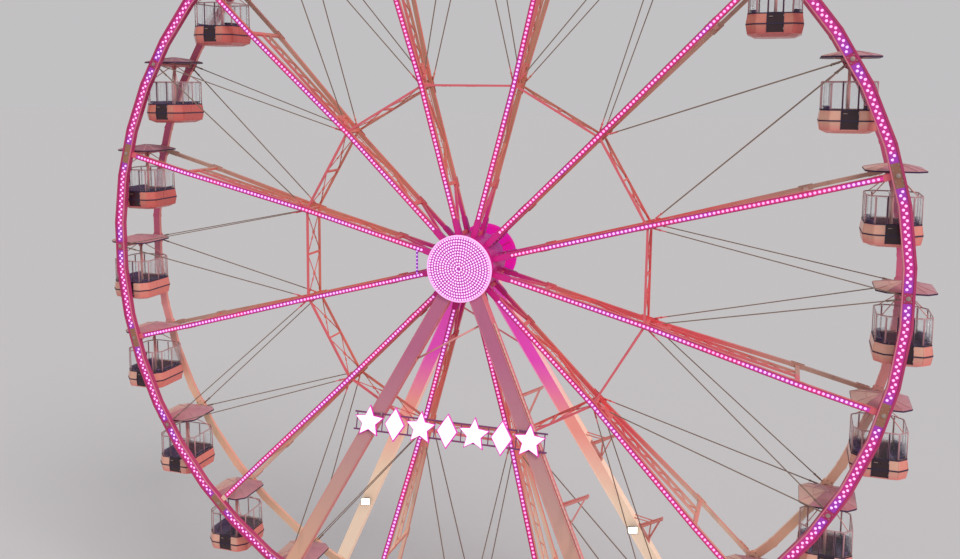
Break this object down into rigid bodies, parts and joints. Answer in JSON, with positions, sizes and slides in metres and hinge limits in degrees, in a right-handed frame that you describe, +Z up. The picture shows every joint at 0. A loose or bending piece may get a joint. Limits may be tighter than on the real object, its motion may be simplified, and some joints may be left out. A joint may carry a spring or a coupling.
{
  "type": "transportable ferris wheel with open cabins",
  "caption": "Transportable giant wheel with forked lattice spokes, lit rims, open eight-sided cabins under low canopies, raking box legs and a lit sign of stars and diamonds.",
  "frame": {"origin": "on the ground below the hub, at the middle of the base", "axes": "+Z up, +Y along the axle towards the rear, +X to the right seen from the front"},
  "size_m": [31.854, 12.0684, 33.92],
  "materials": {
    "white_steel": "satin cream paint, slightly weathered",
    "magenta_steel": "satin, lit magenta by its lamps",
    "leg_steel": "satin grey-mauve paint",
    "cabin_panel": "gloss cream laminate",
    "canopy_panel": "satin mauve laminate",
    "dark_trim": "matt dark purple",
    "clear_screen": "clear",
    "bench_seat": "satin",
    "lamp_lens": "lit lens",
    "lit_sign": "lit white face",
    "stay_cable": "galvanised strand",
    "deck_plate": "raised tread pattern",
    "rubber": "matt"
  },
  "bodies": {
    "base": {"front_left_leg": "leg_steel", "front_right_leg": "leg_steel", "rear_left_leg": "leg_steel", "rear_right_leg": "leg_steel", "front_bearing_head": "leg_steel", "rear_bearing_head": "leg_steel", "front_sill": "leg_steel", "rear_sill": "leg_steel", "left_cross_tie": "leg_steel", "right_cross_tie": "leg_steel", "boarding_deck": "deck_plate", "front_stair": "deck_plate", "rear_stair": "deck_plate", "front_left_railing": "white_steel", "front_right_railing": "white_steel", "rear_left_railing": "white_steel", "rear_right_railing": "white_steel", "sign": "lit_sign"},
    "wheel": {"front_rim": "magenta_steel", "rear_rim": "white_steel", "hub_drum": "white_steel", "front_light_disc": "magenta_steel", "rear_light_disc": "magenta_steel", "spoke_01": "white_steel", "spoke_02": "white_steel", "spoke_03": "white_steel", "spoke_04": "white_steel", "spoke_05": "white_steel", "spoke_06": "white_steel", "spoke_07": "white_steel", "spoke_08": "white_steel", "spoke_09": "white_steel", "spoke_10": "white_steel", "spoke_11": "white_steel", "spoke_12": "white_steel"},
    "cabin_01_body": {"cabin_01": "cabin_panel"},
    "cabin_02_body": {"cabin_02": "cabin_panel"},
    "cabin_03_body": {"cabin_03": "cabin_panel"},
    "cabin_04_body": {"cabin_04": "cabin_panel"},
    "cabin_05_body": {"cabin_05": "cabin_panel"},
    "cabin_06_body": {"cabin_06": "cabin_panel"},
    "cabin_07_body": {"cabin_07": "cabin_panel"},
    "cabin_08_body": {"cabin_08": "cabin_panel"},
    "cabin_09_body": {"cabin_09": "cabin_panel"},
    "cabin_10_body": {"cabin_10": "cabin_panel"},
    "cabin_11_body": {"cabin_11": "cabin_panel"},
    "cabin_12_body": {"cabin_12": "cabin_panel"},
    "cabin_13_body": {"cabin_13": "cabin_panel"},
    "cabin_14_body": {"cabin_14": "cabin_panel"},
    "cabin_15_body": {"cabin_15": "cabin_panel"},
    "cabin_16_body": {"cabin_16": "cabin_panel"},
    "cabin_17_body": {"cabin_17": "cabin_panel"},
    "cabin_18_body": {"cabin_18": "cabin_panel"},
    "cabin_19_body": {"cabin_19": "cabin_panel"},
    "cabin_20_body": {"cabin_20": "cabin_panel"},
    "cabin_21_body": {"cabin_21": "cabin_panel"},
    "cabin_22_body": {"cabin_22": "cabin_panel"},
    "cabin_23_body": {"cabin_23": "cabin_panel"},
    "cabin_24_body": {"cabin_24": "cabin_panel"}
  },
  "joints": [
    {"name": "wheel_spin", "type": "hinge", "parent": "base", "child": "wheel", "pos_m": [0, 0, 18.6], "axis": [0, 1, 0], "continuous": true},
    {"name": "cabin_01_pivot", "type": "hinge", "parent": "wheel", "child": "cabin_01_body", "pos_m": [15, 0, 18.6], "axis": [0, 1, 0], "continuous": true},
    {"name": "cabin_02_pivot", "type": "hinge", "parent": "wheel", "child": "cabin_02_body", "pos_m": [14.4889, 0, 22.4823], "axis": [0, 1, 0], "continuous": true},
    {"name": "cabin_03_pivot", "type": "hinge", "parent": "wheel", "child": "cabin_03_body", "pos_m": [12.9904, 0, 26.1], "axis": [0, 1, 0], "continuous": true},
    {"name": "cabin_04_pivot", "type": "hinge", "parent": "wheel", "child": "cabin_04_body", "pos_m": [10.6066, 0, 29.2066], "axis": [0, 1, 0], "continuous": true},
    {"name": "cabin_05_pivot", "type": "hinge", "parent": "wheel", "child": "cabin_05_body", "pos_m": [7.5, 0, 31.5904], "axis": [0, 1, 0], "continuous": true},
    {"name": "cabin_06_pivot", "type": "hinge", "parent": "wheel", "child": "cabin_06_body", "pos_m": [3.8823, 0, 33.0889], "axis": [0, 1, 0], "continuous": true},
    {"name": "cabin_07_pivot", "type": "hinge", "parent": "wheel", "child": "cabin_07_body", "pos_m": [0, 0, 33.6], "axis": [0, 1, 0], "continuous": true},
    {"name": "cabin_08_pivot", "type": "hinge", "parent": "wheel", "child": "cabin_08_body", "pos_m": [-3.8823, 0, 33.0889], "axis": [0, 1, 0], "continuous": true},
    {"name": "cabin_09_pivot", "type": "hinge", "parent": "wheel", "child": "cabin_09_body", "pos_m": [-7.5, 0, 31.5904], "axis": [0, 1, 0], "continuous": true},
    {"name": "cabin_10_pivot", "type": "hinge", "parent": "wheel", "child": "cabin_10_body", "pos_m": [-10.6066, 0, 29.2066], "axis": [0, 1, 0], "continuous": true},
    {"name": "cabin_11_pivot", "type": "hinge", "parent": "wheel", "child": "cabin_11_body", "pos_m": [-12.9904, 0, 26.1], "axis": [0, 1, 0], "continuous": true},
    {"name": "cabin_12_pivot", "type": "hinge", "parent": "wheel", "child": "cabin_12_body", "pos_m": [-14.4889, 0, 22.4823], "axis": [0, 1, 0], "continuous": true},
    {"name": "cabin_13_pivot", "type": "hinge", "parent": "wheel", "child": "cabin_13_body", "pos_m": [-15, 0, 18.6], "axis": [0, 1, 0], "continuous": true},
    {"name": "cabin_14_pivot", "type": "hinge", "parent": "wheel", "child": "cabin_14_body", "pos_m": [-14.4889, 0, 14.7177], "axis": [0, 1, 0], "continuous": true},
    {"name": "cabin_15_pivot", "type": "hinge", "parent": "wheel", "child": "cabin_15_body", "pos_m": [-12.9904, 0, 11.1], "axis": [0, 1, 0], "continuous": true},
    {"name": "cabin_16_pivot", "type": "hinge", "parent": "wheel", "child": "cabin_16_body", "pos_m": [-10.6066, 0, 7.9934], "axis": [0, 1, 0], "continuous": true},
    {"name": "cabin_17_pivot", "type": "hinge", "parent": "wheel", "child": "cabin_17_body", "pos_m": [-7.5, 0, 5.6096], "axis": [0, 1, 0], "continuous": true},
    {"name": "cabin_18_pivot", "type": "hinge", "parent": "wheel", "child": "cabin_18_body", "pos_m": [-3.8823, 0, 4.1111], "axis": [0, 1, 0], "continuous": true},
    {"name": "cabin_19_pivot", "type": "hinge", "parent": "wheel", "child": "cabin_19_body", "pos_m": [0, 0, 3.6], "axis": [0, 1, 0], "continuous": true},
    {"name": "cabin_20_pivot", "type": "hinge", "parent": "wheel", "child": "cabin_20_body", "pos_m": [3.8823, 0, 4.1111], "axis": [0, 1, 0], "continuous": true},
    {"name": "cabin_21_pivot", "type": "hinge", "parent": "wheel", "child": "cabin_21_body", "pos_m": [7.5, 0, 5.6096], "axis": [0, 1, 0], "continuous": true},
    {"name": "cabin_22_pivot", "type": "hinge", "parent": "wheel", "child": "cabin_22_body", "pos_m": [10.6066, 0, 7.9934], "axis": [0, 1, 0], "continuous": true},
    {"name": "cabin_23_pivot", "type": "hinge", "parent": "wheel", "child": "cabin_23_body", "pos_m": [12.9904, 0, 11.1], "axis": [0, 1, 0], "continuous": true},
    {"name": "cabin_24_pivot", "type": "hinge", "parent": "wheel", "child": "cabin_24_body", "pos_m": [14.4889, 0, 14.7177], "axis": [0, 1, 0], "continuous": true}
  ],
  "couplings": [
    {"joint": "cabin_01_pivot", "follows": "wheel_spin", "ratio": -1},
    {"joint": "cabin_02_pivot", "follows": "wheel_spin", "ratio": -1},
    {"joint": "cabin_03_pivot", "follows": "wheel_spin", "ratio": -1},
    {"joint": "cabin_04_pivot", "follows": "wheel_spin", "ratio": -1},
    {"joint": "cabin_05_pivot", "follows": "wheel_spin", "ratio": -1},
    {"joint": "cabin_06_pivot", "follows": "wheel_spin", "ratio": -1},
    {"joint": "cabin_07_pivot", "follows": "wheel_spin", "ratio": -1},
    {"joint": "cabin_08_pivot", "follows": "wheel_spin", "ratio": -1},
    {"joint": "cabin_09_pivot", "follows": "wheel_spin", "ratio": -1},
    {"joint": "cabin_10_pivot", "follows": "wheel_spin", "ratio": -1},
    {"joint": "cabin_11_pivot", "follows": "wheel_spin", "ratio": -1},
    {"joint": "cabin_12_pivot", "follows": "wheel_spin", "ratio": -1},
    {"joint": "cabin_13_pivot", "follows": "wheel_spin", "ratio": -1},
    {"joint": "cabin_14_pivot", "follows": "wheel_spin", "ratio": -1},
    {"joint": "cabin_15_pivot", "follows": "wheel_spin", "ratio": -1},
    {"joint": "cabin_16_pivot", "follows": "wheel_spin", "ratio": -1},
    {"joint": "cabin_17_pivot", "follows": "wheel_spin", "ratio": -1},
    {"joint": "cabin_18_pivot", "follows": "wheel_spin", "ratio": -1},
    {"joint": "cabin_19_pivot", "follows": "wheel_spin", "ratio": -1},
    {"joint": "cabin_20_pivot", "follows": "wheel_spin", "ratio": -1},
    {"joint": "cabin_21_pivot", "follows": "wheel_spin", "ratio": -1},
    {"joint": "cabin_22_pivot", "follows": "wheel_spin", "ratio": -1},
    {"joint": "cabin_23_pivot", "follows": "wheel_spin", "ratio": -1},
    {"joint": "cabin_24_pivot", "follows": "wheel_spin", "ratio": -1}
  ]
}
